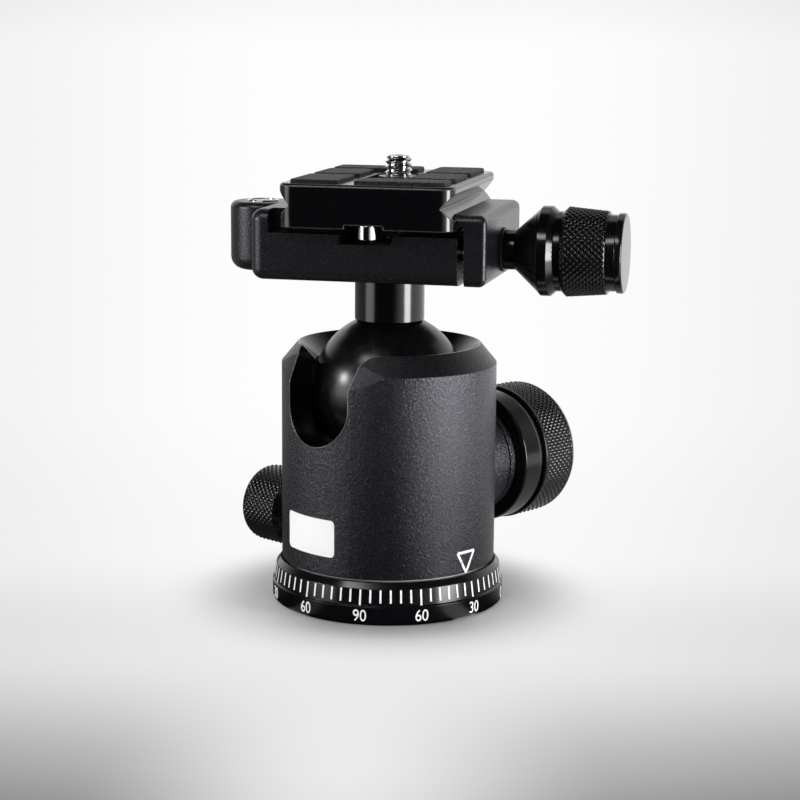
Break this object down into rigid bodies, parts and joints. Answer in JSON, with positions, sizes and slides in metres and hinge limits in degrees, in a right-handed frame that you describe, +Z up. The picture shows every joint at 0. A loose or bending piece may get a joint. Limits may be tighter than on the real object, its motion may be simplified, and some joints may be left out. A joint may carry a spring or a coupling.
{
  "type": "tripod ball head",
  "caption": "Tripod ball head with a degree-marked panning base, drop slot, ball lock and pan lock knobs, and a screw clamp holding a dovetail camera plate.",
  "frame": {"origin": "centre of the base's underside, at the mouth of the tripod thread", "axes": "+Z up; +X along the clamp screw, towards the clamp knob; +Y along the plate's dovetail, away from the viewed front"},
  "size_m": [0.0939, 0.078, 0.1025],
  "materials": {
    "coated_aluminium": "fine-textured black coating",
    "black_anodised": "satin black anodised",
    "rubber": "moulded dark grey rubber",
    "knurled_black": "knurled, black anodised",
    "steel": "turned",
    "chrome": "polished plating",
    "brass": "turned",
    "pom": "natural acetal",
    "black_plastic": "moulded black",
    "vial": "clear acrylic with tinted fluid"
  },
  "bodies": {
    "base": {"pan_base": "black_anodised", "pan_washer": "pom", "retaining_washer": "pom", "retaining_plate": "steel", "retaining_screws": "steel"},
    "housing": {"housing": "coated_aluminium", "pan_bushing": "steel", "ball_liner": "pom", "ball_seat": "pom", "seat_spring": "steel", "seat_retainer": "black_anodised", "lock_bushing": "brass", "lock_washer": "coated_aluminium", "pan_brake_pad": "brass"},
    "lock_knob": {"lock_spindle": "steel", "lock_collar": "black_anodised", "lock_grip": "knurled_black", "lock_knob_screw": "steel", "lock_cap": "black_anodised"},
    "pan_knob": {"pan_screw": "steel", "pan_grip": "knurled_black", "pan_cap": "black_anodised"},
    "ball": {"ball": "black_anodised"},
    "stem": {"stem": "black_anodised", "stem_washer": "steel", "stem_bolt": "steel"},
    "clamp": {"clamp_body": "coated_aluminium", "level_cup": "black_anodised", "level_vial": "vial"},
    "jaw": {"movable_jaw": "coated_aluminium", "guide_pins": "steel", "jaw_spring": "steel", "clamp_washer": "pom"},
    "clamp_knob": {"clamp_screw": "steel", "clamp_knob": "black_anodised", "clamp_grip": "knurled_black", "clamp_cap": "black_anodised"},
    "plate": {"plate": "black_anodised", "plate_pads": "rubber", "stop_screws": "chrome"},
    "screw_carrier": {"screw_clip": "steel"},
    "camera_screw": {"camera_screw": "chrome"}
  },
  "joints": [
    {"name": "pan", "type": "hinge", "parent": "base", "child": "housing", "pos_m": [0, 0, 0.0156], "axis": [0, 0, 1], "continuous": true},
    {"name": "main_lock", "type": "hinge", "parent": "housing", "child": "lock_knob", "pos_m": [0, 0, 0.0286], "axis": [0.5, 0.866, 0], "range_deg": [0, 270]},
    {"name": "pan_lock", "type": "hinge", "parent": "housing", "child": "pan_knob", "pos_m": [0, 0, 0.0156], "axis": [-0.866, 0.5, 0], "range_deg": [0, 270]},
    {"name": "ball_side_tilt", "type": "hinge", "parent": "housing", "child": "ball", "pos_m": [0, 0, 0.04925], "axis": [-0.5, -0.866, 0], "range_deg": [-28, 28]},
    {"name": "ball_drop_tilt", "type": "hinge", "parent": "ball", "child": "stem", "pos_m": [0, 0, 0.04925], "axis": [0.866, -0.5, 0], "range_deg": [-28, 90]},
    {"name": "ball_turn", "type": "hinge", "parent": "stem", "child": "clamp", "pos_m": [0, 0, 0.078], "axis": [0, 0, 1], "continuous": true},
    {"name": "jaw_slide", "type": "slide", "parent": "clamp", "child": "jaw", "axis": [1, 0, 0], "range_m": [0, 0.004]},
    {"name": "clamp_knob_turn", "type": "hinge", "parent": "jaw", "child": "clamp_knob", "pos_m": [0.04, 0, 0.0824], "axis": [1, 0, 0], "range_deg": [0, 1440]},
    {"name": "plate_slide", "type": "slide", "parent": "clamp", "child": "plate", "axis": [0, 1, 0], "range_m": [-0.01, 0.01]},
    {"name": "camera_screw_slide", "type": "slide", "parent": "plate", "child": "screw_carrier", "axis": [0, 1, 0], "range_m": [-0.016, 0]},
    {"name": "camera_screw_turn", "type": "hinge", "parent": "screw_carrier", "child": "camera_screw", "pos_m": [0, 0.008, 0.1], "axis": [0, 0, 1], "continuous": true}
  ],
  "couplings": [
    {"joint": "clamp_knob_turn", "follows": "jaw_slide", "rad_per_m": 6283.2}
  ]
}
